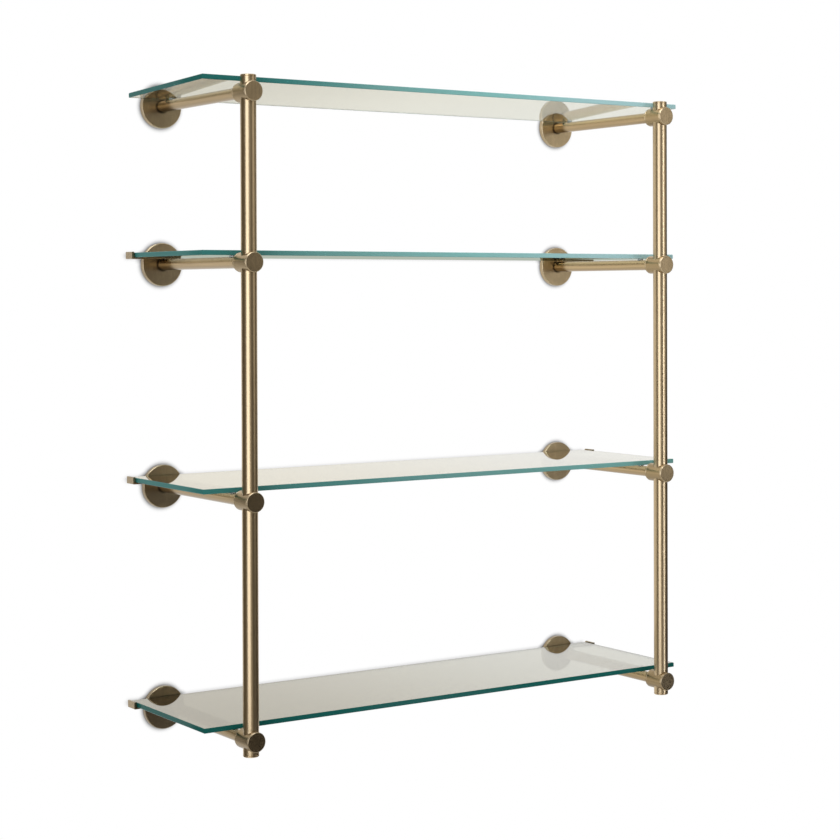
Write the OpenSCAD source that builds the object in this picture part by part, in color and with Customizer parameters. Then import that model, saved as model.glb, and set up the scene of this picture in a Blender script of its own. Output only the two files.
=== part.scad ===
// Wall shelf: four clear glass shelves on brass arms, held by two round front posts
// Frame: +Z up, the wall is the plane Y = 0, the shelf stands out of it towards -Y
// Origin: on the wall, midway between the two sides, at the height of the bottom arms' axis

/* [Layout] */
// Distance between the two post axes
post_spacing = 840; // [500:5:1500]
// Distance from the wall to the post axes
post_to_wall = 316; // [300:1:420]
// Height from the bottom arms to the lower arms
bottom_bay_height = 377; // [150:1:600]
// Height from the lower arms to the upper arms
middle_bay_height = 377; // [150:1:600]
// Height from the upper arms to the top arms
top_bay_height = 268; // [150:1:600]

/* [Posts] */
// Outside diameter of the post tube
post_d = 25.4; // [20:0.1:28]
// Wall of the post tube
post_wall = 1.6; // [1:0.1:3]
// Post end above the axis of the top arms
post_above = 27; // [24:0.5:80]
// Post end below the axis of the bottom arms
post_below = 25; // [24:0.5:80]
// Visible thickness of a post cap
cap_t = 3; // [2:0.5:6]
// Length of the plug that a cap pushes into the tube
cap_plug = 12; // [6:1:20]
// Chamfer round the end of a cap
cap_chamfer = 0.9; // [0.3:0.1:1.5]
// Small chamfer on both sides of the seam between tube and cap
seam_chamfer = 0.35; // [0.1:0.05:0.8]

/* [Cross fittings] */
// Diameter of a cross fitting
fitting_d = 32; // [31:0.5:40]
// Length of a fitting ahead of the post axis
fitting_front = 19; // [16:0.5:30]
// Length of a fitting behind the post axis
fitting_rear = 26; // [24:0.5:36]
// Chamfer round both ends of a fitting
fitting_chamfer = 1; // [0.4:0.1:2]
// Distance from each end of a fitting to its turned ring
ring_inset = 3; // [2.5:0.1:4]
// Width of the turned ring
ring_w = 0.9; // [0.4:0.1:1.2]
// Depth of the turned ring
ring_depth = 0.4; // [0.2:0.1:0.8]
// Depth of the socket that takes the arm
socket_depth = 7; // [4:0.5:8]
// Diameter of the hidden stud between arm and fitting
arm_stud_d = 8; // [5:0.5:10]
// Length of that stud inside the arm
arm_stud_grip = 16; // [8:1:30]

/* [Arms] */
// Diameter of an arm
arm_d = 19; // [16:0.5:22]
// Chamfer round the wall end of an arm
arm_chamfer = 1; // [0.3:0.1:2]
// Chamfer round the socket end of an arm
arm_end_chamfer = 0.3; // [0.1:0.1:1]

/* [Wall brackets] */
// Diameter of a wall flange
flange_d = 73; // [66:0.5:90]
// Front wall of the hollow wall flange
flange_wall = 2.5; // [1.5:0.1:4]
// Chamfer round the front edge of a flange
flange_chamfer = 1; // [0.4:0.1:2]
// Side wall of the hollow wall flange
flange_rim = 3.5; // [2:0.1:4]
// Thickness of the wall plate
plate_t = 5.5; // [4:0.5:9]
// Distance between the two wall screw holes of a plate
screw_spacing = 40; // [32:1:42]
// Diameter of a wall screw hole
screw_hole_d = 5.5; // [4:0.1:6.5]
// Diameter of the countersink of a wall screw hole
screw_head_d = 10.5; // [8:0.1:12]
// Diameter of the stud between plate and arm
wall_stud_d = 10; // [6:0.5:12]
// Length of that stud inside the arm
wall_stud_grip = 11; // [8:1:11]

/* [Glass] */
// Length of glass past each post axis
glass_overhang = 62.5; // [30:0.5:150]
// Thickness of a glass shelf
glass_t = 8; // [6:0.5:12]
// Ground arris along the edges of the glass
glass_arris = 0.7; // [0.2:0.1:1.5]
// Gap between the wall and the rear edge of the three lower shelves
glass_wall_gap = 10; // [10:0.5:12]
// Gap between the front edge of the three lower shelves and the cross fittings
glass_front_gap = 12; // [4:0.5:40]
// Gap between the front edge of the top shelf and the posts
top_glass_post_gap = 6.8; // [2:0.1:7]
// Sideways place of the loose top shelf
top_glass_shift = -8; // [-10:1:10]

/* [Rear clips] */
// Width of a clip bar
clip_w = 25; // [22:1:30]
// Gap between a wall flange and a clip bar
clip_flange_gap = 1; // [0.5:0.5:4]
// Height of the glass above the top of the arms
clip_rise = 2; // [1.5:0.1:4]
// Depth of the flat milled on an arm as the seat of a clip
clip_seat = 0.6; // [0.3:0.1:1.2]
// Length of a clip bar past the arm axis
clip_tail = 6; // [5.5:0.5:9]
// Thickness of the lip at the outer end of a clip
lip_t = 4; // [2:0.5:5]
// Height of the lip above the glass
lip_over = 1.5; // [0.5:0.5:4]
// Gap between the lip and the end of the glass
lip_gap = 2; // [0.5:0.5:3]
// Radius of the outer corner under the lip
clip_corner_r = 1.5; // [0.5:0.1:2]
// Radius of the inner corner between bar and lip
clip_inner_r = 0.4; // [0.1:0.1:0.5]
// Chamfer along the top of the lip
lip_chamfer = 0.5; // [0.1:0.1:0.8]
// Distance from the front of a clip to the head of its screw
clip_screw_edge = 2; // [1.5:0.5:4]
// Diameter of a clip screw
clip_screw_d = 4; // [3:0.5:5]
// Diameter of a clip screw's countersunk head
clip_head_d = 7.4; // [6:0.1:9]
// Length of a clip screw below the clip's top face
clip_screw_l = 10; // [6:1:14]

/* [Pads] */
// Diameter of the clear pads on the arms
pad_d = 10; // [6:0.5:14]
// Thickness of the clear pads on the top arms
pad_t = 1; // [0.5:0.1:4]
// Diameter of the clear pads on the top cross fittings
crown_pad_d = 5; // [3:0.5:5]
// Thickness of the clear pads on the top cross fittings
crown_pad_t = 2; // [1:0.1:5]
// Distance from the front edge of a lower shelf to the centre of its front pad
pad_inset = 18; // [8:1:60]
// Distance from the rear edge of the top shelf to the centre of its rear pad
rear_pad_inset = 20; // [8:1:60]

/* [Hidden] */
$fn = 96;
running_fit = 0.05;
post_fit = 0.08;
slack = 0.2;
eps = 0.01;
stud_chamfer = 0.8;
screw_tip = 0.5;
cup_fit = 0.5;
head_fit = 0.1;
bore_spare = 2;
cut_over = 1;

LEFT = -1;
RIGHT = 1;
SIDES = [LEFT, RIGHT];

// Heights of the four arm levels
z_bottom = 0;
z_lower = z_bottom + bottom_bay_height;
z_upper = z_lower + middle_bay_height;
z_top = z_upper + top_bay_height;
LEVELS = [z_bottom, z_lower, z_upper, z_top];
CLIP_LEVELS = [z_bottom, z_lower, z_upper];

post_r = post_d / 2;
post_x = post_spacing / 2;
post_y = -post_to_wall;
post_top = z_top + post_above;
post_bottom = z_bottom - post_below;
tube_bore_r = post_r - post_wall;

fitting_r = fitting_d / 2;
fitting_back = post_y + fitting_rear;
socket_floor = fitting_back - socket_depth;

arm_r = arm_d / 2;
plate_r = flange_d / 2 - flange_rim - cup_fit;
flange_t = plate_t + flange_wall;
arm_back = -flange_t;
arm_front = socket_floor + slack;

// All four shelves are one size of glass
glass_l = post_spacing + 2 * glass_overhang;
glass_w = post_to_wall - fitting_rear - glass_wall_gap - glass_front_gap;

// The lower shelves lie flat on the clip bars at the back and on pads at the front
glass_bottom = arm_r + clip_rise;
clip_t = clip_rise + clip_seat;
clip_seat_z = arm_r - clip_seat;
clip_back = -flange_t - clip_flange_gap;
clip_front = clip_back - clip_w;
clip_screw_y = clip_front + clip_head_d / 2 + clip_screw_edge;
lip_x = glass_l / 2 + lip_gap;
front_pad_y = -glass_wall_gap - glass_w + pad_inset;

// The top shelf lies on pads on its arms at the back and on the cross fittings at the front
top_front = post_y + post_r + top_glass_post_gap;
crown_pad_y = (fitting_back - fitting_chamfer + top_front) / 2;
rear_pad_y = top_front + glass_w - rear_pad_inset;
rear_pad_z = arm_r + pad_t;
crown_pad_z = fitting_r + crown_pad_t;
top_tilt = atan2(crown_pad_z - rear_pad_z, rear_pad_y - crown_pad_y);

BRASS = [0.72, 0.60, 0.40];
BRIGHT_BRASS = [0.80, 0.68, 0.46];
STEEL = [0.62, 0.63, 0.65];
GLASS = [0.55, 0.80, 0.74, 0.45];
CLEAR = [0.85, 0.87, 0.86, 0.6];

// A round bar along Y from y0 to y1, with a chamfer of its own at each end
module bar_y(r, y0, y1, c0, c1) {
    translate([0, y0, 0]) rotate([-90, 0, 0]) rotate_extrude()
        polygon([[0, 0], [r - c0, 0], [r, c0], [r, y1 - y0 - c1], [r - c1, y1 - y0], [0, y1 - y0]]);
}

// A plain drill along Y, y0 below y1
module drill_y(r, y0, y1) {
    translate([0, y0, 0]) rotate([-90, 0, 0]) cylinder(h = y1 - y0, r = r);
}

// Places its children at one arm axis: x and z of the arm, y on the wall
module at_arm(side, z) {
    translate([side * post_x, 0, z]) children();
}

// Mirrors its children for the left side
module handed(side) {
    if (side < 0) mirror([1, 0, 0]) children();
    else children();
}

// Vertical tube with a small chamfer at each end, where the caps' seams show
module post(side) {
    length = post_top - post_bottom - 2 * cap_t;
    color(BRASS) translate([side * post_x, post_y, post_bottom + cap_t]) rotate_extrude()
        polygon([
            [tube_bore_r, 0], [post_r - seam_chamfer, 0], [post_r, seam_chamfer],
            [post_r, length - seam_chamfer], [post_r - seam_chamfer, length], [tube_bore_r, length]
        ]);
}

// Turned cap: a disc of the tube's diameter with a plug that pushes into the tube
module post_cap(side, end) {
    z = end > 0 ? post_top : post_bottom;
    plug_r = tube_bore_r - running_fit;
    color(BRIGHT_BRASS) translate([side * post_x, post_y, z]) rotate([end > 0 ? 180 : 0, 0, 0]) rotate_extrude()
        polygon([
            [0, 0], [post_r - cap_chamfer, 0], [post_r, cap_chamfer], [post_r, cap_t - seam_chamfer],
            [post_r - seam_chamfer, cap_t], [plug_r, cap_t], [plug_r, cap_t + cap_plug - cap_chamfer],
            [plug_r - cap_chamfer, cap_t + cap_plug], [0, cap_t + cap_plug]
        ]);
}

// Turned blank of a cross fitting: a chamfer and a fine ring at each end
module fitting_blank() {
    length = fitting_front + fitting_rear;
    near = ring_inset;
    far = length - ring_inset;
    inner = fitting_r - ring_depth;
    translate([0, post_y - fitting_front, 0]) rotate([-90, 0, 0]) rotate_extrude()
        polygon([
            [0, 0], [fitting_r - fitting_chamfer, 0], [fitting_r, fitting_chamfer],
            [fitting_r, near - ring_w / 2], [inner, near], [fitting_r, near + ring_w / 2],
            [fitting_r, far - ring_w / 2], [inner, far], [fitting_r, far + ring_w / 2],
            [fitting_r, length - fitting_chamfer], [fitting_r - fitting_chamfer, length], [0, length]
        ]);
}

// Cross fitting: the post passes through it, the arm sits in the socket at its back
module fitting(side, z) {
    color(BRASS) at_arm(side, z) difference() {
        fitting_blank();
        translate([0, post_y, -fitting_d]) cylinder(h = 2 * fitting_d, r = post_r + post_fit);
        drill_y(arm_r + running_fit, socket_floor, fitting_back + cut_over);
        drill_y(arm_stud_d / 2, post_y, socket_floor + cut_over);
    }
}

// Arm: a round bar tapped at both ends, with a flat for the clip where it carries one
module arm(side, z, with_clip) {
    color(BRASS) at_arm(side, z) difference() {
        bar_y(arm_r, arm_front, arm_back, arm_end_chamfer, arm_chamfer);
        drill_y(wall_stud_d / 2, arm_back - wall_stud_grip - bore_spare, arm_back + cut_over);
        drill_y(arm_stud_d / 2, arm_front - cut_over, arm_front + arm_stud_grip + bore_spare);
        if (with_clip) {
            translate([-arm_d, clip_front - running_fit, clip_seat_z])
                cube([2 * arm_d, clip_w + 2 * running_fit, arm_d]);
            translate([0, clip_screw_y, glass_bottom - slack - clip_screw_l - cut_over])
                cylinder(h = clip_screw_l + arm_d, r = clip_screw_d / 2);
        }
    }
}

// Wall flange: a turned cup that hides the wall plate and is clamped by the arm
module flange(side, z) {
    r = flange_d / 2;
    cup_r = r - flange_rim;
    hole_r = wall_stud_d / 2 + cup_fit;
    color(BRASS) at_arm(side, z) rotate([90, 0, 0]) rotate_extrude()
        polygon([
            [hole_r, plate_t], [cup_r, plate_t], [cup_r, 0], [r, 0],
            [r, flange_t - flange_chamfer], [r - flange_chamfer, flange_t], [hole_r, flange_t]
        ]);
}

// Wall plate: a steel disc with a tapped centre and two countersunk holes, one above the other
module wall_plate(side, z) {
    sink = (screw_head_d - screw_hole_d) / 2;
    color(STEEL) at_arm(side, z) rotate([90, 0, 0]) difference() {
        cylinder(h = plate_t, r = plate_r);
        translate([0, 0, -cut_over]) cylinder(h = plate_t + 2 * cut_over, r = wall_stud_d / 2);
        for (s = [-1, 1]) translate([0, s * screw_spacing / 2, 0]) {
            translate([0, 0, -cut_over]) cylinder(h = plate_t + 2 * cut_over, r = screw_hole_d / 2);
            translate([0, 0, plate_t - sink]) cylinder(h = sink + eps, r1 = screw_hole_d / 2, r2 = screw_head_d / 2 + eps);
        }
    }
}

// Clip: a flat bar on the arm, with a lip that stops the end of the glass
module clip(side, z) {
    outer = lip_x + lip_t - post_x;
    inner = outer - lip_t;
    lip_top = glass_bottom + glass_t + lip_over;
    corner = clip_corner_r;
    head_h = (clip_head_d - clip_screw_d) / 2;
    hole_r = clip_screw_d / 2 + head_fit;
    color(BRIGHT_BRASS) at_arm(side, z) handed(side) difference() {
        translate([0, clip_back, 0]) rotate([90, 0, 0]) linear_extrude(clip_w)
            polygon(concat(
                [[-clip_tail, glass_bottom], [-clip_tail, clip_seat_z]],
                [for (a = [-90:15:0]) [outer - corner + corner * cos(a), clip_seat_z + corner + corner * sin(a)]],
                [[outer, lip_top - lip_chamfer], [outer - lip_chamfer, lip_top]],
                [[inner + lip_chamfer, lip_top], [inner, lip_top - lip_chamfer]],
                [for (a = [0:-15:-90])
                    [inner - clip_inner_r + clip_inner_r * cos(a), glass_bottom + clip_inner_r + clip_inner_r * sin(a)]]
            ));
        translate([0, clip_screw_y, clip_seat_z - cut_over]) cylinder(h = clip_t + 2 * cut_over, r = hole_r);
        translate([0, clip_screw_y, glass_bottom - head_h])
            cylinder(h = head_h + eps, r1 = hole_r, r2 = hole_r + head_h + eps);
    }
}

// Glass plate with its arrises ground off, its underside at z = 0 and its rear edge at y = 0
module plate_of_glass() {
    a = glass_arris;
    intersection() {
        translate([-glass_l / 2, 0, 0]) rotate([90, 0, 90]) linear_extrude(glass_l)
            polygon([
                [-a, 0], [0, a], [0, glass_t - a], [-a, glass_t],
                [-glass_w + a, glass_t], [-glass_w, glass_t - a], [-glass_w, a], [-glass_w + a, 0]
            ]);
        rotate([90, 0, 0]) linear_extrude(glass_w)
            polygon([
                [-glass_l / 2 + a, 0], [glass_l / 2 - a, 0], [glass_l / 2, a], [glass_l / 2, glass_t - a],
                [glass_l / 2 - a, glass_t], [-glass_l / 2 + a, glass_t], [-glass_l / 2, glass_t - a], [-glass_l / 2, a]
            ]);
    }
}

// Places its children on the sloping underside of the top shelf, with y and z from its rear pads
module on_top_slope() {
    translate([0, rear_pad_y, z_top + rear_pad_z]) rotate([-top_tilt, 0, 0]) children();
}

module lower_shelf(z) {
    color(GLASS) translate([0, -glass_wall_gap, z + glass_bottom]) plate_of_glass();
}

module top_shelf() {
    color(GLASS) on_top_slope() translate([top_glass_shift, rear_pad_inset, 0]) plate_of_glass();
}

// Studs that pull flange and arm onto the wall plate
module wall_studs() {
    color(STEEL) for (z = LEVELS, side = SIDES) at_arm(side, z)
        bar_y(wall_stud_d / 2 - running_fit, arm_back - wall_stud_grip, -slack, stud_chamfer, stud_chamfer);
}

// Studs that join arm and fitting; their tips bear on the post and lock it
module arm_studs() {
    tip = post_y + post_r + running_fit;
    color(STEEL) for (z = LEVELS, side = SIDES) at_arm(side, z)
        bar_y(arm_stud_d / 2 - running_fit, tip, arm_front + arm_stud_grip, stud_chamfer, stud_chamfer);
}

// Countersunk screws that hold the clips on the arms, their heads just below the glass
module clip_screws() {
    head_h = (clip_head_d - clip_screw_d) / 2;
    shank_r = clip_screw_d / 2 - running_fit;
    color(STEEL) for (z = CLIP_LEVELS, side = SIDES) at_arm(side, z)
        translate([0, clip_screw_y, glass_bottom - slack]) rotate([180, 0, 0]) rotate_extrude()
            polygon([
                [0, 0], [clip_head_d / 2 - slack, 0], [shank_r, head_h],
                [shank_r, clip_screw_l - screw_tip], [shank_r - screw_tip, clip_screw_l], [0, clip_screw_l]
            ]);
}

// Clear pads under the front of the lower shelves, hollowed to sit on the round arms
module front_pads() {
    color(CLEAR) for (z = CLIP_LEVELS, side = SIDES) at_arm(side, z) difference() {
        translate([0, front_pad_y, 0]) cylinder(h = glass_bottom, r = pad_d / 2);
        drill_y(arm_r + eps, front_pad_y - pad_d, front_pad_y + pad_d);
    }
}

// Clear pads between the top arms and the sloping top shelf
module top_rear_pads() {
    color(CLEAR) for (side = SIDES) difference() {
        on_top_slope() translate([side * post_x, 0, -rear_pad_z]) cylinder(h = rear_pad_z, r = pad_d / 2);
        at_arm(side, z_top) drill_y(arm_r + eps, rear_pad_y - pad_d, rear_pad_y + pad_d);
    }
}

// Clear pads between the crowns of the top cross fittings and the top shelf
module crown_pads() {
    along = (crown_pad_y - rear_pad_y) / cos(top_tilt);
    color(CLEAR) for (side = SIDES) difference() {
        on_top_slope() translate([side * post_x, along, -crown_pad_z]) cylinder(h = crown_pad_z, r = crown_pad_d / 2);
        at_arm(side, z_top) drill_y(fitting_r + eps, crown_pad_y - fitting_d, crown_pad_y + fitting_d);
    }
}

post(LEFT);  // left_post
post(RIGHT);  // right_post
post_cap(LEFT, 1);  // top_left_post_cap
post_cap(RIGHT, 1);  // top_right_post_cap
post_cap(LEFT, -1);  // bottom_left_post_cap
post_cap(RIGHT, -1);  // bottom_right_post_cap

fitting(LEFT, z_bottom);  // bottom_left_fitting
fitting(RIGHT, z_bottom);  // bottom_right_fitting
fitting(LEFT, z_lower);  // lower_left_fitting
fitting(RIGHT, z_lower);  // lower_right_fitting
fitting(LEFT, z_upper);  // upper_left_fitting
fitting(RIGHT, z_upper);  // upper_right_fitting
fitting(LEFT, z_top);  // top_left_fitting
fitting(RIGHT, z_top);  // top_right_fitting

arm(LEFT, z_bottom, true);  // bottom_left_arm
arm(RIGHT, z_bottom, true);  // bottom_right_arm
arm(LEFT, z_lower, true);  // lower_left_arm
arm(RIGHT, z_lower, true);  // lower_right_arm
arm(LEFT, z_upper, true);  // upper_left_arm
arm(RIGHT, z_upper, true);  // upper_right_arm
arm(LEFT, z_top, false);  // top_left_arm
arm(RIGHT, z_top, false);  // top_right_arm

flange(LEFT, z_bottom);  // bottom_left_flange
flange(RIGHT, z_bottom);  // bottom_right_flange
flange(LEFT, z_lower);  // lower_left_flange
flange(RIGHT, z_lower);  // lower_right_flange
flange(LEFT, z_upper);  // upper_left_flange
flange(RIGHT, z_upper);  // upper_right_flange
flange(LEFT, z_top);  // top_left_flange
flange(RIGHT, z_top);  // top_right_flange

wall_plate(LEFT, z_bottom);  // bottom_left_wall_plate
wall_plate(RIGHT, z_bottom);  // bottom_right_wall_plate
wall_plate(LEFT, z_lower);  // lower_left_wall_plate
wall_plate(RIGHT, z_lower);  // lower_right_wall_plate
wall_plate(LEFT, z_upper);  // upper_left_wall_plate
wall_plate(RIGHT, z_upper);  // upper_right_wall_plate
wall_plate(LEFT, z_top);  // top_left_wall_plate
wall_plate(RIGHT, z_top);  // top_right_wall_plate

clip(LEFT, z_bottom);  // bottom_left_clip
clip(RIGHT, z_bottom);  // bottom_right_clip
clip(LEFT, z_lower);  // lower_left_clip
clip(RIGHT, z_lower);  // lower_right_clip
clip(LEFT, z_upper);  // upper_left_clip
clip(RIGHT, z_upper);  // upper_right_clip

lower_shelf(z_bottom);  // bottom_glass
lower_shelf(z_lower);  // lower_glass
lower_shelf(z_upper);  // upper_glass
top_shelf();  // top_glass

wall_studs();
arm_studs();
clip_screws();
front_pads();
top_rear_pads();
crown_pads();
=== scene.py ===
# %% [markdown]
# # A brass and glass wall shelf
# Four clear glass plates lie on round brass arms. Each arm comes out of a round flange on the wall
# and ends in a short cross fitting, and two upright posts pass through the fittings. The CAD model
# already has all of these shapes, down to the chamfers, so nothing is modelled twice here: this
# lesson gives the parts their brass, steel and glass, and builds a small studio round them. All
# sizes are in metres. The wall is the plane y = 0, and the shelf is on its -y side.

# %% Load the model and keep its size
import bmesh
import bpy
import math
from mathutils import Matrix, Vector


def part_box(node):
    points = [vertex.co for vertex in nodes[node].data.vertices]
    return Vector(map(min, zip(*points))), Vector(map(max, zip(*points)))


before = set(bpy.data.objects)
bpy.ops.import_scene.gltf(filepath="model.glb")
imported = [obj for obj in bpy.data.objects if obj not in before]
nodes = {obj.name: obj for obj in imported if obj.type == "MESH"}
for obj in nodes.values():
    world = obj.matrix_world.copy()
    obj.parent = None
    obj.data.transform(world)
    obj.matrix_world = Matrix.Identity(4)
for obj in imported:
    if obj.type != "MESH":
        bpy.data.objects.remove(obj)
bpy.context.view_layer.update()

# %% [markdown]
# ## Where things are
# Some finishes change with the place: the underside of an arm is darker than its crown, and the
# bottom level gets less light than the top one. The places could be typed in, but a change in the
# CAD would then leave them behind. So they are measured on the model. The four levels have the names
# that the CAD gives them, from the bottom up, and the height of a level is the axis of its arms.

# %% Measure the levels and the sides
LEVELS = ("bottom", "lower", "upper", "top")
SIDES = ("left", "right")


def middle(node):
    low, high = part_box(node)
    return (low + high) / 2


arm_z = {level: middle(f"{level}_left_arm").z for level in LEVELS}
arm_x = middle("bottom_right_arm").x
print("arm heights in mm:", {level: round(z * 1000) for level, z in arm_z.items()})
print("arms to either side of the middle:", round(arm_x * 1000), "mm")

# %% [markdown]
# ## The camera
# The photograph looks at the shelf from the left and from about two thirds of the way up, with a long
# lens, and the posts stay upright. A camera that tilts down to the shelf would make them lean. A
# photographer keeps the camera level and shifts the lens instead, and Blender's camera has the same
# shift. The numbers come from matching the ends of the posts, the flanges and the corners of the glass.

# %% Place the camera
EYE = Vector((-1.91376, -3.09935, 0.70688))
YAW = 0.60505
PITCH = -0.01033
ROLL = -0.00326
LENS = 85.526
SENSOR = 36
SHIFT_X = -0.0650
SHIFT_Y = -0.1286

ahead = Vector((math.sin(YAW) * math.cos(PITCH), math.cos(YAW) * math.cos(PITCH), math.sin(PITCH)))
level_right = Vector((math.cos(YAW), -math.sin(YAW), 0))
level_up = level_right.cross(ahead)
right = math.cos(ROLL) * level_right + math.sin(ROLL) * level_up
up = math.cos(ROLL) * level_up - math.sin(ROLL) * level_right

camera = bpy.data.objects.new("camera", bpy.data.cameras.new("camera"))
bpy.context.scene.collection.objects.link(camera)
camera.data.lens = LENS
camera.data.sensor_width = SENSOR
camera.data.shift_x = SHIFT_X
camera.data.shift_y = SHIFT_Y
camera.matrix_world = Matrix.Translation(EYE) @ Matrix((right, up, -ahead)).transposed().to_4x4()
bpy.context.scene.camera = camera
print("camera to the left post:", round((EYE - middle("left_post")).length, 2), "m")

# %% [markdown]
# ## Shader maths as plain expressions
# A finish mixes masks, noises and colours. In the node editor that soon becomes a web of small Math
# nodes, and in a script it becomes a page of links. So one small class wraps an output socket: +, -
# and * on it add the Math nodes, and `over` gives a soft edge between two parts of a pattern.

# %% Wrap a socket
class Wire:
    """An output socket of a shader node, with arithmetic."""

    def __init__(self, finish, node, name=None):
        self.finish = finish
        self.node = node
        self.socket = node.outputs[name] if name else next((o for o in node.outputs if o.enabled), None)

    def out(self, name):
        return Wire(self.finish, self.node, name)

    def colour(self):
        """The colour result of a Mix node, which has one output for each kind of data."""
        made = Wire(self.finish, self.node)
        made.socket = next(o for o in self.node.outputs if o.enabled and o.type == "RGBA")
        return made

    def maths(self, operation, *values):
        return self.finish.add("ShaderNodeMath", {"operation": operation}, dict(enumerate(values)))

    def __add__(self, other):
        return self.maths("ADD", self, other)

    __radd__ = __add__

    def __mul__(self, other):
        return self.maths("MULTIPLY", self, other)

    __rmul__ = __mul__

    def __sub__(self, other):
        return self.maths("SUBTRACT", self, other)

    def __rsub__(self, other):
        return self.maths("SUBTRACT", other, self)

    def or_more(self, other):
        """The larger of the two, which for masks means one or the other."""
        return self.maths("MAXIMUM", self, other)

    def over(self, edge, soft):
        """0 below edge, 1 above edge + soft, and smooth between."""
        settings = {"interpolation_type": "SMOOTHSTEP"}
        limits = {"Value": self, "From Min": edge, "From Max": edge + soft}
        return self.finish.add("ShaderNodeMapRange", settings, limits)

    def ramp(self, low, high):
        """0 at low, 1 at high, and straight between."""
        limits = {"Value": self, "From Min": low, "From Max": high}
        return self.finish.add("ShaderNodeMapRange", None, limits)


print("a wire knows:", [word for word in vars(Wire) if not word.startswith("__")])

# %% [markdown]
# ## One way to add any other node
# Every other node comes from one method: it takes the node's type, then its settings, then the values
# or wires of its sockets. The settings come first because some of them, such as a Mix node's kind of
# data, change which sockets the node has. The short methods after it are the few nodes that nearly
# every finish on this shelf uses.

# %% Put a finish together
def rgb(red, green, blue):
    return (red, green, blue, 1.0)


class Finish:
    """The nodes of a material or of the world, while they are put together."""

    def __init__(self, owner):
        owner.use_nodes = True
        self.owner = owner
        self.tree = owner.node_tree
        self.tree.nodes.clear()

    def add(self, kind, settings=None, inputs=None):
        """Adds a node: its settings first, then the values or wires of its sockets."""
        node = self.tree.nodes.new(kind)
        for key, value in (settings or {}).items():
            if key == "stops":
                self.set_stops(node.color_ramp, value)
            else:
                setattr(node, key, value)
        for key, value in (inputs or {}).items():
            if isinstance(key, str):
                socket = next(s for s in node.inputs if s.name == key and s.enabled)
            else:
                socket = node.inputs[key]
            if isinstance(value, Wire):
                self.tree.links.new(value.socket, socket)
            else:
                socket.default_value = value
        return Wire(self, node)

    def set_stops(self, ramp, stops):
        while len(ramp.elements) < len(stops):
            ramp.elements.new(0.5)
        for element, (position, colour) in zip(ramp.elements, stops):
            element.position = position
            element.color = rgb(*colour)

    def where(self):
        """Places on the piece, in metres."""
        return self.add("ShaderNodeTexCoord").out("Object")

    def axes(self):
        """The three coordinates of the place, each as a wire."""
        parts = self.add("ShaderNodeSeparateXYZ", None, {"Vector": self.where()})
        return parts.out("X"), parts.out("Y"), parts.out("Z")

    def noise(self, scales, detail=3.0, roughness=0.5):
        """Cloudy values about 0.5; a larger scale along an axis makes the clouds shorter there."""
        squeeze = {"Vector": self.where(), "Scale": scales}
        place = self.add("ShaderNodeMapping", {"vector_type": "POINT"}, squeeze)
        inputs = {"Vector": place, "Scale": 1.0, "Detail": detail, "Roughness": roughness}
        return self.add("ShaderNodeTexNoise", None, inputs).out("Fac")

    def blend(self, factor, a, b):
        """A colour between a and b."""
        inputs = {"Factor": factor, "A": a, "B": b}
        return self.add("ShaderNodeMix", {"data_type": "RGBA"}, inputs).colour()

    def layers(self, factor, a, b):
        """A shader between a and b."""
        return self.add("ShaderNodeMixShader", None, {0: factor, 1: a, 2: b})

    def shows(self, wire):
        """The last node, which gives the finish to the material or the world."""
        of_world = isinstance(self.owner, bpy.types.World)
        kind = "ShaderNodeOutputWorld" if of_world else "ShaderNodeOutputMaterial"
        self.add(kind, None, {"Surface": wire})
        return self.owner


print("a finish knows:", [word for word in vars(Finish) if not word.startswith("__")])

# %% [markdown]
# ## Distances from the arms
# The lower half of a round arm mirrors the dark floor of the room, and in the photograph it is a
# deeper brown. The pale floor of this studio would light it up. A darker floor would show in the
# picture, so the tint itself is darker below the arm's axis. That mask needs the distance from the
# nearest arm, and one finish serves all four levels, so the height of the axis is a staircase: it
# goes up one level wherever a place is nearer to the next arm.

# %% Measure from the arms' axes inside a finish
def from_arm_axis(f):
    """How far a place is from the nearest arm's axis, sideways and up."""
    x, y, z = f.axes()
    aside = x - x.maths("SIGN", x) * arm_x
    level = arm_z["bottom"]
    for below, above in zip(LEVELS, LEVELS[1:]):
        half_way = (arm_z[below] + arm_z[above]) / 2
        level = level + z.maths("GREATER_THAN", z, half_way) * (arm_z[above] - arm_z[below])
    return aside, z - level


print("levels above the lowest:", {level: round(arm_z[level] - arm_z["bottom"], 3) for level in LEVELS})

# %% [markdown]
# ## Brass
# The metal is solid brass with a satin, slightly aged finish. On the real shelf it comes from an
# abrasive belt, so fine marks run along a post or an arm. Metal has no colour of its own except in
# what it mirrors, so the base colour is the tint of its reflections. A picture of scratched metal
# could be wrapped round each part, but noise in the part's own coordinates has no seams, and one
# number along each axis turns the marks the way the belt went.

# %% Write down the recipe for brass
SCRATCH_RELIEF = 0.0002
FRESH = 1.08
FOOT_SHADE = 0.12
# Each of these is where a mask starts and how far it takes to reach 1. The last four are in metres.
MARKS = (0.30, 0.40)
BLOTCHES = (0.35, 0.30)
FROM_UNDERSIDE = (-0.010, 0.011)
FROM_FOOT = (0.009, 0.005)
FROM_FLOOR = (-0.2, 1.1)
FROM_LEFT = (-0.3, 0.6)


def share_of(tint, share):
    return rgb(*(c * share for c in tint))


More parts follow.
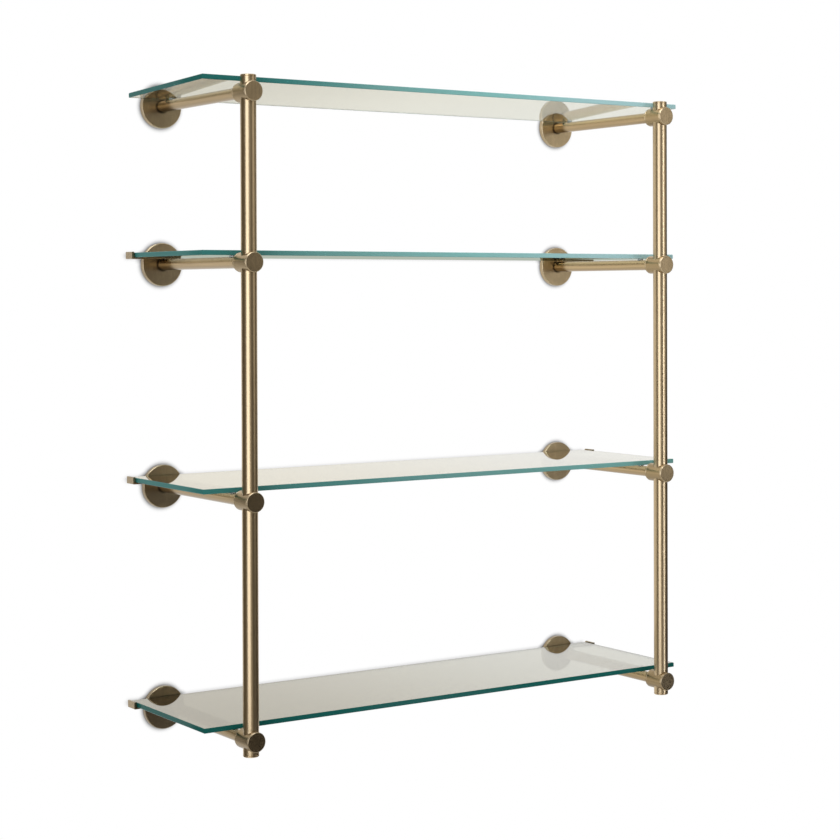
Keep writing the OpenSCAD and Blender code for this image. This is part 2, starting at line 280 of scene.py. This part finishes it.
def brass(name, tint, marks, gloss, spread=0.0, relief=0.0, aged=0.80, bronzed=0.0, under=1.0,
          dusk=1.0, left=1.0, foot=False):
    """Satin brass. marks: the noise's scales along x, y and z. gloss: roughness. spread: what the marks
    add to it. relief: the strength of the marks. The other numbers are shares of the tint: aged in the
    marks, 1 - bronzed in the blotches, and painted shade in the rest: under below an arm's axis, dusk
    at the bottom of the shelf and left at its left. foot: whether a painted dark ring of contact shade
    lies round the arm."""
    f = Finish(bpy.data.materials.new(name))
    fine = f.noise(marks, 2.0)
    colour = f.blend(fine.over(*MARKS), share_of(tint, aged), share_of(tint, FRESH))
    if bronzed:
        broad = f.noise((60.0, 60.0, 60.0), 3.0, 0.55)
        colour = f.blend(broad.over(*BLOTCHES), share_of(tint, 1.0 - bronzed), colour)
    # Painted shade: the tint is darker below an arm's axis, standing for the dark floor that the
    # underside mirrors.
    if under < 1.0:
        aside, up = from_arm_axis(f)
        colour = f.blend(up.over(*FROM_UNDERSIDE), share_of(tint, under), colour)
    # Painted shade: the tint is darker towards the bottom of the shelf and at its left, where less
    # light falls.
    if dusk < 1.0 or left < 1.0:
        x, y, z = f.axes()
        by_height = z.over(*FROM_FLOOR) * (1.0 - dusk) + dusk
        by_side = x.over(*FROM_LEFT) * (1.0 - left) + left
        colour = f.blend(by_height * by_side, rgb(0, 0, 0), colour)
    # Painted contact shade: a dark ring on the flange round the foot of the arm.
    if foot:
        aside, up = from_arm_axis(f)
        reach = up.maths("POWER", aside * aside + up * up, 0.5)
        colour = f.blend(reach.over(*FROM_FOOT), share_of(tint, FOOT_SHADE), colour)
    rough = fine * spread + gloss if spread else gloss
    looks = {"Base Color": colour, "Metallic": 1.0, "Roughness": rough}
    if relief:
        bump = {"Strength": relief, "Distance": SCRATCH_RELIEF, "Height": fine}
        looks["Normal"] = f.add("ShaderNodeBump", None, bump)
    return f.shows(f.add("ShaderNodeBsdfPrincipled", None, looks))


print("the marks are at most", SCRATCH_RELIEF * 1000, "mm deep")

# %% [markdown]
# ## One recipe, nine finishes
# A maker polishes the round bars, brushes the flat fronts of the fittings and leaves the flanges and
# clips duller. One material for all of it would look like plastic. The recipe stays the same, and
# each part gets its own tint, gloss and direction of the marks. The posts have no relief and an even
# gloss, because every streak of light on them is a mirrored edge of the studio, and the smallest
# bump would break it up. At a roughness of 0.30 those streaks are soft enough to stay smooth.

# %% Mix the brass for every part
ALONG_X = (4.0, 260.0, 260.0)
ALONG_Y = (260.0, 4.0, 260.0)
ALONG_Z = (260.0, 260.0, 4.0)
ALL_WAYS = (420.0, 420.0, 420.0)
UPRIGHT = (420.0, 420.0, 60.0)
POST_TINT = (0.50, 0.38, 0.225)

post_brass = brass("post_brass", POST_TINT, ALONG_Z, gloss=0.30, aged=0.97)
cap_brass = brass("cap_brass", POST_TINT, ALONG_Z, gloss=0.30, aged=0.97)
# The under, dusk and left shares below are painted shade: darker below an arm's axis, at the bottom of
# the shelf and at its left.
arm_brass = brass(
    "arm_brass", (0.56, 0.41, 0.22), ALONG_Y, gloss=0.17, spread=0.05, relief=0.02,
    under=0.62, dusk=0.7, left=0.86
)
fitting_brass = brass(
    "fitting_brass", (0.47, 0.34, 0.175), ALONG_Y, gloss=0.29, spread=0.03, relief=0.02,
    under=0.7, dusk=0.7
)
face_brass = brass(
    "face_brass", (0.42, 0.32, 0.19), UPRIGHT, gloss=0.25, spread=0.02, relief=0.02, bronzed=0.1
)
rim_brass = brass(
    "rim_brass", (0.48, 0.37, 0.225), ALL_WAYS, gloss=0.29, spread=0.03, relief=0.02,
    dusk=0.62, left=0.80
)
flange_brass = brass(
    "flange_brass", (0.46, 0.35, 0.205), UPRIGHT, gloss=0.31, spread=0.03, relief=0.005,
    aged=0.93, bronzed=0.12, dusk=0.75, left=0.72, foot=True
)
flange_rim_brass = brass(
    "flange_rim_brass", (0.46, 0.36, 0.22), ALL_WAYS, gloss=0.34, spread=0.04, relief=0.02, dusk=0.5
)
clip_brass = brass(
    "clip_brass", (0.34, 0.26, 0.155), ALONG_X, gloss=0.24, spread=0.06, relief=0.02
)
BRASSES = (
    post_brass, cap_brass, arm_brass, fitting_brass, face_brass, rim_brass, flange_brass,
    flange_rim_brass, clip_brass
)
print(len(BRASSES), "finishes of brass:", [material.name for material in BRASSES])

# %% [markdown]
# ## Dress the metal
# The CAD gives a fitting as one solid, but its flat front and the bright chamfer round it were
# finished on their own. In the editor one would select those faces and assign them. A script can do
# the same from the direction that each face looks in: the front looks at the room, along -y, and the
# chamfer looks half way there.

# %% Give the brass to the parts
FLAT_FRONT = 0.95
CHAMFER = 0.25


def dress(node, side, face=None, rim=None):
    """One finish for a whole part, or others for its flat front and for the chamfer round that."""
    mesh = nodes[node].data
    mesh.materials.clear()
    for material in (side, face, rim):
        if material:
            mesh.materials.append(material)
    if face:
        for polygon in mesh.polygons:
            to_room = -polygon.normal.y
            polygon.material_index = 1 if to_room > FLAT_FRONT else 2 if to_room > CHAMFER else 0


for side in SIDES:
    dress(f"{side}_post", post_brass)
    dress(f"top_{side}_post_cap", cap_brass)
    dress(f"bottom_{side}_post_cap", cap_brass)
    for level in LEVELS:
        dress(f"{level}_{side}_arm", arm_brass)
        dress(f"{level}_{side}_fitting", fitting_brass, face_brass, rim_brass)
        dress(f"{level}_{side}_flange", flange_brass, flange_brass, flange_rim_brass)
        if level != "top":
            dress(f"{level}_{side}_clip", clip_brass)
kinds = [polygon.material_index for polygon in nodes["top_left_fitting"].data.polygons]
print("faces of a fitting that look at the room:", kinds.count(1), "and half way:", kinds.count(2))

# %% [markdown]
# ## Zinc-plated steel
# The wall plates, studs and screws are hidden in use, but they show when a shelf is lifted or when
# the part is seen from behind. Zinc plating is a cold grey with small crystals that differ a little in
# brightness and gloss. One fine noise drives both, because on the real plate both come from the same
# crystals.

# %% Finish the hidden steel
def zinc():
    f = Finish(bpy.data.materials.new("zinc_finish"))
    crystals = f.noise((240.0, 240.0, 240.0), 2.0, 0.4)
    colour = f.blend(crystals, rgb(0.46, 0.47, 0.49), rgb(0.62, 0.63, 0.65))
    return f.shows(f.add("ShaderNodeBsdfPrincipled", None, {
        "Base Color": colour, "Metallic": 1.0, "Roughness": crystals * 0.2 + 0.3
    }))


steel = zinc()
plates = [f"{level}_{side}_wall_plate" for level in LEVELS for side in SIDES]
for node in (*plates, "wall_studs", "arm_studs", "clip_screws"):
    dress(node, steel)
print("zinc on", len(plates), "wall plates, and on the studs and screws")

# %% [markdown]
# ## Clear pads
# Small pads of soft clear plastic keep the glass off the metal. They could be plain glass, but real
# pads are slightly milky, so this finish lets only part of the light through and shows a cloudy grey
# for the rest.

# %% Finish the pads
def clear_plastic():
    f = Finish(bpy.data.materials.new("clear_plastic"))
    cloud = f.noise((300.0, 300.0, 300.0), 2.0)
    colour = f.blend(cloud, rgb(0.42, 0.47, 0.45), rgb(0.50, 0.54, 0.52))
    return f.shows(f.add("ShaderNodeBsdfPrincipled", None, {
        "Base Color": colour, "Roughness": 0.35, "IOR": 1.45, "Transmission Weight": 0.6
    }))


plastic = clear_plastic()
PADS = ("front_pads", "top_rear_pads", "crown_pads")
for node in PADS:
    dress(node, plastic)
print("clear plastic on:", PADS)

# %% [markdown]
# ## The faces of the glass
# Looked through from above, float glass is nearly clear. Seen at a low angle it turns into a mirror,
# which is how the photograph shows all four shelves. A glass shader does both by itself, but it has
# one colour, and the real plates are greyer at the left end and lower down, where the room is darker.
# So the glass is layered: a shader that bends light lies under one that mirrors it, and Fresnel's law
# gives the mirror's share. The colour of a shader stays plain, and what changes over the glass is
# only how much of each shader shows, because the export can carry that over.

# %% Make the faces of the glass
GLASS_IOR = 1.5
LEFT_END = -0.45
CLEAR = (0.95, 0.985, 0.97)
PALE = (0.80, 0.785, 0.72)
PAINTED_DARK_ROOM = (0.10, 0.09, 0.065)
SHINE = (0.96, 0.95, 0.905)
WARM_SHINE = (0.94, 0.90, 0.80)
GRAZING_SHINE = (0.42, 0.47, 0.40)


def bends(f, red, green, blue):
    looks = {"Color": rgb(red, green, blue), "Roughness": 0.0, "IOR": GLASS_IOR}
    return f.add("ShaderNodeBsdfRefraction", None, looks)


def mirrors(f, red, green, blue):
    return f.add("ShaderNodeBsdfAnisotropic", None, {"Color": rgb(red, green, blue), "Roughness": 0.0})


def face_glass():
    f = Finish(bpy.data.materials.new("glass_face"))
    low_angle = f.add("ShaderNodeLayerWeight", None, {"Blend": 0.5}).out("Facing")
    x, y, z = f.axes()
    from_left = x.over(LEFT_END, 0.9)
    above_bottom = z.over(0.05, 0.3)
    at_top = z.over(0.80, 0.10)
    # Painted reflection of the room: how pale the glass is at a low angle, on the bottom shelf, on the
    # middle two, on the top one; darker at the left and lower down.
    pale = from_left * 0.43 + 0.07
    pale = pale + above_bottom * (0.57 - pale)
    pale = pale + at_top * (x.over(LEFT_END, 0.5) * 0.26 + 0.655 - pale)
    aslant = f.layers(pale, bends(f, *PAINTED_DARK_ROOM), bends(f, *PALE))
    through = f.layers(low_angle.over(0.35, 0.40), bends(f, *CLEAR), aslant)
    # Painted reflection: the mirror is warmer at the left end and greener at the lowest angles.
    shine = f.layers(from_left, mirrors(f, *WARM_SHINE), mirrors(f, *SHINE))
    shine = f.layers(low_angle.over(0.93, 0.06), shine, mirrors(f, *GRAZING_SHINE))
    fresnel = f.add("ShaderNodeFresnel", None, {"IOR": GLASS_IOR})
    share = fresnel * (1.40 - above_bottom * 0.12 - at_top * 0.56)
    return f.shows(f.layers(share, through, shine))


clear_glass = face_glass()
print("glass faces:", len(clear_glass.node_tree.nodes), "nodes")

# %% [markdown]
# ## The edges of the glass
# The iron in float glass is green, and light that leaves at an edge has come a long way through it.
# Tracing that would need many bounces and would stay noisy, so the edge is a polished green surface
# instead. Its colour comes from a ramp of greens, darker where less light gets in, and fine level
# streaks stand for the grinding.

# %% Make the edges of the glass
GREENS = (
    (0.00, (0.008, 0.090, 0.072)), (0.18, (0.037, 0.162, 0.138)), (0.42, (0.13, 0.29, 0.25)),
    (0.70, (0.19, 0.41, 0.36)), (1.00, (0.33, 0.50, 0.47))
)
GROUND_STREAKS = (6.0, 6.0, 500.0)


def edge_glass():
    """Green, deepest at the bottom left."""
    f = Finish(bpy.data.materials.new("glass_edge"))
    x, y, z = f.axes()
    # How much light gets in: the more the farther right and up, and little at the left.
    along = x.ramp(LEFT_END, 0.30)
    dim = z.over(0.10, 0.20) * 0.18 - z.over(0.80, 0.15) * 0.15
    streak = f.noise(GROUND_STREAKS, 3.0)
    light = along * z.over(-0.02, 0.82) + (1.0 - along) * dim + streak * 0.08 - 0.04
    colour = f.add("ShaderNodeValToRGB", {"stops": GREENS}, {"Fac": light})
    return f.shows(f.add("ShaderNodeBsdfPrincipled", None, {
        "Base Color": colour, "Roughness": 0.12, "IOR": GLASS_IOR, "Specular IOR Level": 0.08
    }))


green_edge = edge_glass()
print("glass edges:", len(GREENS), "greens from dark to light")

# %% [markdown]
# ## Put the glass on the shelves
# A plate has two large faces and a narrow band of edge. As on the fittings, the direction of each
# face tells them apart: a face that looks nearly straight up or down is clear, and the rest is edge.

# %% Give the glass to the shelves
UP_OR_DOWN = 0.9

for level in LEVELS:
    mesh = nodes[f"{level}_glass"].data
    mesh.materials.clear()
    mesh.materials.append(clear_glass)
    mesh.materials.append(green_edge)
    for polygon in mesh.polygons:
        polygon.material_index = 0 if abs(polygon.normal.z) > UP_OR_DOWN else 1
    edges = sum(polygon.material_index for polygon in mesh.polygons)
    print(level, "glass:", len(mesh.polygons) - edges, "clear faces,", edges, "edge faces")

# %% [markdown]
# ## A hair of air under the glass
# On the model the glass lies exactly on its clips and pads, and two faces at exactly the same place
# confuse a renderer: a ray that leaves the glass may start behind the metal's face, where it is
# caught, and the clip turns black. Moving the vertices would change the CAD's shape. A Displace
# modifier without a texture lifts a whole piece evenly, and a few hundredths of a millimetre are
# enough.

# %% Leave a hair of air
HAIR = 0.00003


def lift(node, height):
    air = nodes[node].modifiers.new("air", "DISPLACE")
    air.direction = "Z"
    air.mid_level = 0.0
    air.strength = height


for node in PADS:
    lift(node, HAIR)
for level in LEVELS:
    lift(f"{level}_glass", 2 * HAIR)
print("air between clips and glass:", round(2 * HAIR * 1000, 2), "mm")

# %% [markdown]
# ## White paper for the set
# The shelf hangs on a white wall over a white floor, as in a shop's picture. Lighting real paper up to
# white would burn out the brass. Light Path tells one kind of ray from another: what the camera,
# a mirror or a glass sees is white paper, and what lights the shelf is the plain pale paper. The wall
# also keeps the soft dark rim that a flange leaves on it. Both sheets are clear from behind, so that
# they don't hide the shelf in a view from the back or from below.

# %% Make the paper
CONTACT_SHADE = (0.03, 0.028, 0.026)
LIT_PAPER = rgb(0.80, 0.79, 0.77)


def glows(f, red, green, blue):
    return f.add("ShaderNodeEmission", None, {"Color": rgb(red, green, blue), "Strength": 1.0})


def is_seen(f):
    """1 for the rays that show a surface, and 0 for those that only bring its light."""
    ray = f.add("ShaderNodeLightPath")
    mirrored = ray.out("Is Glossy Ray")
    through_glass = ray.out("Is Transmission Ray")
    return ray.out("Is Camera Ray").or_more(mirrored).or_more(through_glass)


def paper(name, rim):
    """White backdrop, one-sided; rim is how far a soft contact shadow reaches, or 0."""
    f = Finish(bpy.data.materials.new(name))
    shown = glows(f, 1.0, 1.0, 1.0)
    if rim:
        light = f.add("ShaderNodeAmbientOcclusion", {"samples": 24}, {"Distance": rim}).out("AO")
        mirrored = f.add("ShaderNodeLightPath").out("Is Glossy Ray")
        open_wall = light.ramp(0.42, 0.90).or_more(mirrored)
        shown = f.layers(open_wall, glows(f, *CONTACT_SHADE), shown)
    lit = f.add("ShaderNodeBsdfDiffuse", None, {"Color": LIT_PAPER})
    front = f.layers(is_seen(f), lit, shown)
    from_behind = f.add("ShaderNodeNewGeometry").out("Backfacing")
    return f.shows(f.layers(from_behind, front, f.add("ShaderNodeBsdfTransparent")))


RIM = 0.013
wall_paper = paper("wall_paper", rim=RIM)
floor_paper = paper("floor_paper", rim=0.0)
print("the rim round a flange fades out", round(RIM * 1000), "mm from it")

# %% [markdown] ## The wall and the floor Each is one flat sheet. A grid of one square is made at
# its place straight away by the matrix that the operator takes, so the object itself stays at the
# origin.

# %% Hang the wall and lay the floor
def set_piece(name, bm, material):
    """Turns a bmesh into an object of the set."""
    mesh = bpy.data.meshes.new(name)
    bm.to_mesh(mesh)
    bm.free()
    mesh.materials.append(material)
    obj = bpy.data.objects.new(name, mesh)
    bpy.context.scene.collection.objects.link(obj)
    return obj


def sheet(name, material, turn, centre, width, height):
    bm = bmesh.new()
    place = Matrix.Translation(centre) @ turn @ Matrix.Diagonal((width, height, 1, 1))
    bmesh.ops.create_grid(bm, x_segments=1, y_segments=1, size=0.5, matrix=place)
    return set_piece(name, bm, material)


FACING_ROOM = Matrix.Rotation(math.radians(90), 4, "X")
FLAT = Matrix.Identity(4)
wall = sheet("wall", wall_paper, FACING_ROOM, centre=(0.20, 0.0004, 0.5), width=1.6, height=1.5)
floor = sheet("floor", floor_paper, FLAT, centre=(0, -0.45, -0.55), width=1.8, height=0.9)
for piece in (wall, floor):
    print(piece.name, "in metres:", [round(size, 2) for size in piece.dimensions])

# %% [markdown]
# ## The world
# The world is the light that comes from everywhere. It is soft and grey on the shelf, at half
# strength, so that the lamps can still model the round bars, and white where it is seen, so that no
# edge shows between it and the paper.

# %% Light the world
SOFT = {"Color": rgb(0.96, 0.98, 1.0), "Strength": 0.50}
WHITE = {"Color": rgb(1, 1, 1), "Strength": 1.0}

studio = Finish(bpy.data.worlds.new("studio"))
soft = studio.add("ShaderNodeBackground", None, SOFT)
white = studio.add("ShaderNodeBackground", None, WHITE)
bpy.context.scene.world = studio.shows(studio.layers(is_seen(studio), soft, white))
print("the world lights at", SOFT["Strength"], "and shows at", WHITE["Strength"])

# %% [markdown]
# ## The lamps
# A large softbox at the left gives the wide highlight on the posts, a narrow strip lights their right
# side, and a box overhead lifts the tops of the arms. Small bright lamps would give hard, glittering
# lines on satin brass, so the boxes are wide and dim. They are a little blue, which keeps the brass
# from turning orange, and the camera doesn't see them.

# %% Hang the lamps
LAMP_COLOUR = (0.92, 0.98, 1.12)


def softbox(name, at, aim, width, height, power, spread=180):
    """A lamp with a flat square face; power is in watts and spread in degrees."""
    lamp = bpy.data.lights.new(name, "AREA")
    lamp.shape = "RECTANGLE"
    lamp.size = width
    lamp.size_y = height
    lamp.energy = power
    lamp.color = LAMP_COLOUR
    lamp.spread = math.radians(spread)
    obj = bpy.data.objects.new(name, lamp)
    obj.location = at
    obj.rotation_euler = (Vector(aim) - Vector(at)).to_track_quat("-Z", "Y").to_euler()
    obj.visible_camera = False
    bpy.context.scene.collection.objects.link(obj)
    print(name, power, "W over", round(width * height, 2), "square metres")


softbox("left_box", at=(-2.9, -2.5, 0.7), aim=(-0.1, -0.3, 0.5), width=2.4, height=3.0, power=60)
softbox(
    "right_strip", at=(0.93, -1.76, 0.5), aim=(0.42, -0.316, 0.5), width=0.34, height=2.4,
    power=0.98, spread=47
)
softbox("top_box", at=(-0.6, -1.0, 2.4), aim=(0.0, -0.2, 0.4), width=1.6, height=1.2, power=26)

# %% [markdown]
# ## The dark curtain
# Polished metal mirrors the whole room, so a round post in an all-white studio looks flat and white. A
# photographer hangs dark cloth round the set and leaves gaps, and each gap becomes one clean streak
# on the post. Here the cloth is a round wall that only reflections see. Its brightness is painted by
# place: dark at the floor, browner at the left, and pale in the gaps at the right and at the left.

# %% Hang the curtain round the set
DARK_CLOTH = (0.035, 0.030, 0.023)
GREY_CLOTH = (0.18, 0.17, 0.15)
BROWN_CLOTH = (0.135, 0.115, 0.085)
LEFT_GAP = (0.36, 0.34, 0.30)
RIGHT_GAP = (0.71, 0.685, 0.64)


def cloth():
    """Each gap is the part of the ring that lies beyond a plane."""
    f = Finish(bpy.data.materials.new("curtain"))
    x, y, z = f.axes()
    drape = f.layers(z.over(-0.9, 3.4), glows(f, *DARK_CLOTH), glows(f, *GREY_CLOTH))
    drape = f.layers(x.over(-4.4, 1.8), glows(f, *BROWN_CLOTH), drape)
    to_left = x * -0.098 - y * 0.194
    drape = f.layers(to_left.over(0.95, 0.08), drape, glows(f, *LEFT_GAP))
    to_right = x * 0.150 - y * 0.157 + z * 0.035
    right_gap = to_right.over(1.012, 0.035) * z.over(-1.6, 2.6)
    return f.shows(f.layers(right_gap, drape, glows(f, *RIGHT_GAP)))


RADIUS = 4.6
HEIGHT = 6.0
CENTRE = Matrix.Translation((0, -0.3, 0.8))

ring = bmesh.new()
bmesh.ops.create_cone(
    ring, cap_ends=False, segments=64, radius1=RADIUS, radius2=RADIUS, depth=HEIGHT, matrix=CENTRE
)
curtain = set_piece("curtain", ring, cloth())
curtain.visible_camera = False
curtain.visible_diffuse = False
curtain.visible_transmission = False
curtain.visible_shadow = False
print("curtain:", RADIUS, "m away and", HEIGHT, "m tall")

# %% [markdown]
# ## Colours as they are written
# Blender's default view rolls off bright colours, as film does, and turns them paler. A white page
# would come out grey. The Standard view shows a colour as the script wrote it.

# %% Show colours plainly
bpy.context.scene.view_settings.view_transform = "Standard"
print("view transform:", bpy.context.scene.view_settings.view_transform)

# %% [markdown] ## The dressed shelf The finishes haven't moved a vertex, and the hair of air is inside, so the dressed shelf has the CAD's box.
